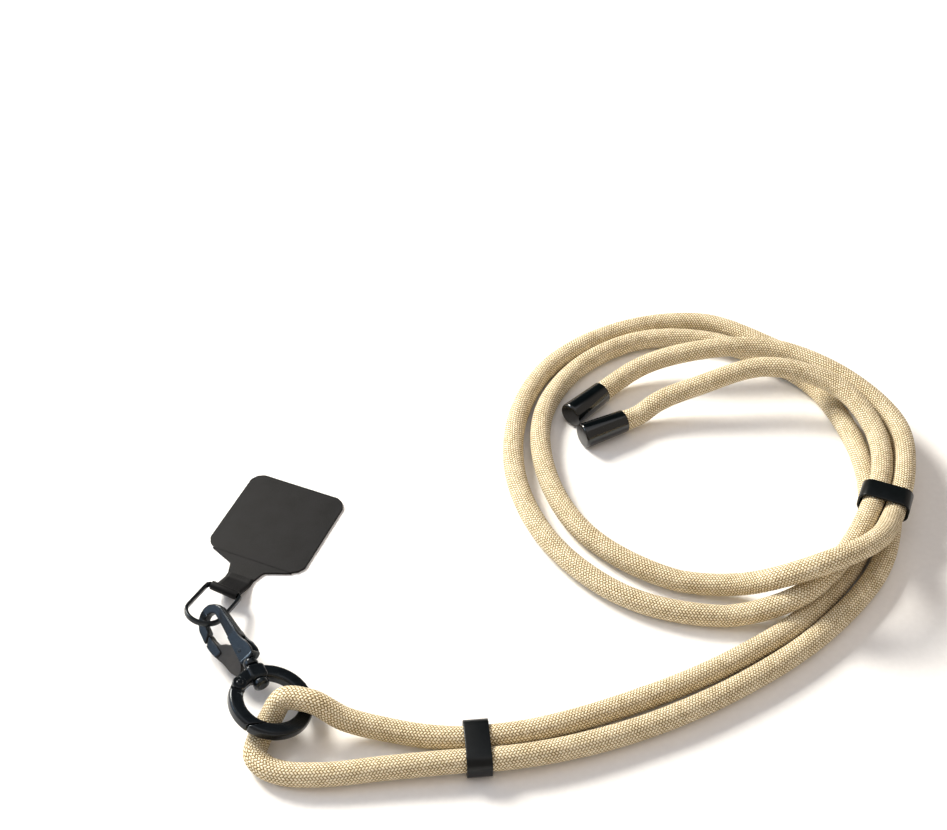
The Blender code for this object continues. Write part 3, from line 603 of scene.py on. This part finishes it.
# rivet head inside the ring, stem through the boss, neck up to the base
head, neck_at = BOSS_IN - GAP - BASE_R, BOSS_OUT + GAP - BASE_R
stem = ((head - HEAD_L, 0), (head - HEAD_L, 1.5), (head - HEAD_L + 0.5, HEAD_D / 2),
        (head, HEAD_D / 2), (head, STEM_D / 2), (neck_at, STEM_D / 2), (neck_at, NECK_D / 2),
        (-0.1, NECK_D / 2), (0.9, NECK_D / 2 - 0.5), (0.9, 0))
surface("hook_stem", *lathe(soften(stem, 0.45, 6, closed=False), P0, RX), plated, "clasp",
        "black_plated_metal")
pin_at = P0 + PIVOT[0] * RX + PIVOT[1] * CB
pin = ((-2.0, 0), (-2.0, PIVOT_D / 2), (2.0, PIVOT_D / 2), (2.0, 0))
surface("hook_pivot", *lathe(soften(pin, 0.25, 5, closed=False), pin_at, CC, 40), plated, "clasp",
        "black_plated_metal")

# tumbled die-cast metal of the lever: the same black, duller and warmer, with a fine grit
tumbled, ut, us = material("tumbled_black_diecast_lever", Metallic=0.3, Specular_IOR_Level=0.5)
spot = add(ut, "TexCoord").outputs["Object"]
grit = add(ut, "TexNoise", [("Vector", spot)], Scale=1800.0, Detail=4.0)
patch = add(ut, "TexNoise", [("Vector", spot)], Scale=200.0, Detail=4.0)
tint = add(ut, "ValToRGB", [("Fac", patch)], ((0.3, "#151311"), (0.7, "#2c2824")))
ut.links.new(tint.outputs[0], us.inputs["Base Color"])
haze = add(ut, "MapRange", [("Value", patch)], To_Min=0.42, To_Max=0.6)
ut.links.new(haze.outputs[0], us.inputs["Roughness"])
bump = add(ut, "Bump", [("Height", grit)], Strength=0.25, Distance=0.0001)
ut.links.new(bump.outputs[0], us.inputs["Normal"])

gate = surface("plated_lever", *slab(soften(GATE, 0.4, 5), -GATE_H, GATE_H, 0.3, CLASP), tumbled,
               "hook_gate", "black_plated_metal", flat_from=1)
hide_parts("hook_gate")
surface("lever_tip", *slab(soften(ARM, 0.4, 4), -1.3, 1.3, 0.35, CLASP), plated, "hook_gate",
        "black_plated_metal", flat_from=1)

# D-ring.
# A thin black strip of metal bent into a long D, with a round bar that the tab is folded
# over. The clasp's nose holds it by its rounded end.
BAR_C = np.array((-80.3, 303.4, 5.0))        # middle of the bar (mm)
BAR_AZ, D_SLOPE, D_ROLL = radians(-20.0), radians(18.0), radians(8.0)
D_HALF, D_LEN = 5.9, 19.0                    # half its width and its length, to the wire's centre
WIRE_T, WIRE_W, BAR_D = 1.2, 1.8, 1.3        # mm
E1 = np.array([cos(BAR_AZ), sin(BAR_AZ), 0.0])
E2 = cos(D_SLOPE) * np.array([E1[1], -E1[0], 0.0]) + sin(D_SLOPE) * np.array([0, 0, 1.0])
EN = unit(np.cross(E1, E2)) * np.sign(np.cross(E1, E2)[2])
E1 = cos(D_ROLL) * E1 - sin(D_ROLL) * EN
EN = unit(np.cross(E1, E2)) * np.sign(np.cross(E1, E2)[2])
# x, y of the wire's centre, then its radial and axial size
bend = np.linspace(0, pi, 41)[1:-1]
bow = np.stack((D_HALF * np.cos(bend), D_LEN - D_HALF + D_HALF * np.sin(bend),
                np.full(len(bend), WIRE_T), np.full(len(bend), WIRE_W)), 1)
right_side = np.array([(D_HALF - 0.7, 0.05, BAR_D, WIRE_W), (D_HALF - 0.1, 0.7, WIRE_T, WIRE_W),
                       (D_HALF, 2.5, WIRE_T, WIRE_W), (D_HALF, D_LEN - D_HALF, WIRE_T, WIRE_W)])
bar = np.array([(x, 0.0, BAR_D, BAR_D) for x in (-3.9, -1.5, 1.5, 3.9)])
loop = np.vstack((bar, right_side, bow, right_side[::-1] * (-1, 1, 1, 1)))
ahead = np.roll(loop[:, :2], -1, 0) - np.roll(loop[:, :2], 1, 0)
ahead /= np.linalg.norm(ahead, axis=1)[:, None]
outside = np.stack((ahead[:, 1], -ahead[:, 0]), 1)
sec = rounded(1.0, 1.0, 0.3, 4)
q = loop[:, None, :2] + sec[None, :, :1] * loop[:, None, 2:3] * outside[:, None]
v = BAR_C + q[..., :1] * E1 + q[..., 1:] * E2 + (sec[None, :, 1] * loop[:, 3:4])[..., None] * EN
ring_d = surface("bent_d_ring", (v.reshape(-1, 3) + SHIFT) * 1e-3,
                 [grid_faces(len(loop), len(sec), True)], plated, "d_ring", "black_plated_metal")
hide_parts("d_ring")

# Tether tab.
# A black laminated sheet folded round the bar and stuck to itself, which drops to the table
# and widens into a flat pad with round corners.
ROLL_D, ROLL_WALL, ROLL_L = 3.0, 0.5, 9.4    # the fold round the bar (mm)
SHEET, LIFT = 0.8, 0.05                      # thickness, and height over the table (mm)
PAD_W, PAD_L, PAD_R, PAD_AT = 36.0, 44.0, 5.0, 9.5   # the last one is its start from the bar (mm)
UP = np.array([0, 0, 1.0])
PU = unit(np.cross(UP, (E1[0], E1[1], 0)))
PV = unit((E1[0], E1[1], 0))
BAR_FOOT = BAR_C * (1, 1, 0)                 # the point of the table under the bar
zb = BAR_C[2]

# laminated sheet: matt black film with a fine canvas grain and a slight sheen on the folds
film, ft, fs = material("black_laminated_sheet", Specular_IOR_Level=0.16)
spot = add(ft, "TexCoord").outputs["Object"]
weave = add(ft, "TexNoise", [("Vector", spot)], Scale=2600.0, Detail=2.0)
cloud = add(ft, "TexNoise", [("Vector", spot)], Scale=150.0, Detail=5.0)
tint = add(ft, "ValToRGB", [("Fac", cloud)], ((0.3, "#0b0b0c"), (0.7, "#141416")))
ft.links.new(tint.outputs[0], fs.inputs["Base Color"])
haze = add(ft, "MapRange", [("Value", cloud)], To_Min=0.45, To_Max=0.62)
ft.links.new(haze.outputs[0], fs.inputs["Roughness"])
bump = add(ft, "Bump", [("Height", weave)], Strength=0.35, Distance=0.00012)
ft.links.new(bump.outputs[0], fs.inputs["Normal"])

# section (u, z) of the neck: from under the bar down to the table, and back underneath
DROP = np.array(((1.4, zb - 1.2), (3.4, zb - 2.0), (5.6, 1.9), (8.0, 1.0), (10.5, SHEET + LIFT)))
low = DROP - (0, SHEET)
strip = soften(np.vstack(((-0.2, zb - 0.9), DROP, low[::-1], (-0.2, zb - 0.9 - SHEET))), 1.0, 5)
n, m = 9, len(strip)                         # sections across the neck, and points in one
sideways = np.linspace(-ROLL_L / 2, ROLL_L / 2, n)[:, None, None] * PV
v = BAR_FOOT + sideways + strip[None, :, :1] * PU + strip[None, :, 1:] * UP
neck = surface("folded_neck", (v.reshape(-1, 3) + SHIFT) * 1e-3,
               [grid_faces(n, m), np.arange(m)[None], (n - 1) * m + np.arange(m)[None]], film,
               "tab", "black_sheet", flat_from=1)
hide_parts("tether_tab")

# tube round the bar: (distance along it, radius) round the wall's section
ro, ri = ROLL_D / 2, ROLL_D / 2 - ROLL_WALL
wall = soften(((0.0, ri), (0.0, ro), (ROLL_L, ro), (ROLL_L, ri)), 0.15, 4)
n = 48
th = 2 * np.pi * np.arange(n) / n
u1 = unit(np.cross(E1, UP))
around = np.cos(th)[:, None] * u1 + np.sin(th)[:, None] * np.cross(E1, u1)
v = BAR_C - ROLL_L / 2 * E1 + wall[:, 0, None, None] * E1 + wall[:, 1, None, None] * around[None]
surface("folded_roll", (v.reshape(-1, 3) + SHIFT) * 1e-3, [grid_faces(len(wall), n, True)], film,
        "tab", "black_sheet")

# pad: one side of its outline (distance from the bar, place across), then the other mirrored
hw = PAD_W / 2
half = [(PAD_AT, -ROLL_L / 2), (14.0, -ROLL_L / 2 - 1.5), (17.5, -hw + 3.0)]
for centre, degrees in ((22.5, (195, 225, 255)), (PAD_AT + PAD_L - PAD_R, (285, 315, 345))):
    half += [(centre + PAD_R * cos(radians(k)), -hw + PAD_R + PAD_R * sin(radians(k)))
             for k in degrees]
pad_out = np.array(half + [(u, -t) for u, t in half[::-1]])
surface("flat_pad", *slab(soften(pad_out, 1.5, 5), LIFT, SHEET + LIFT, 0.2, (BAR_FOOT, PU, PV, UP)),
        film, "tab", "black_sheet", flat_from=1)
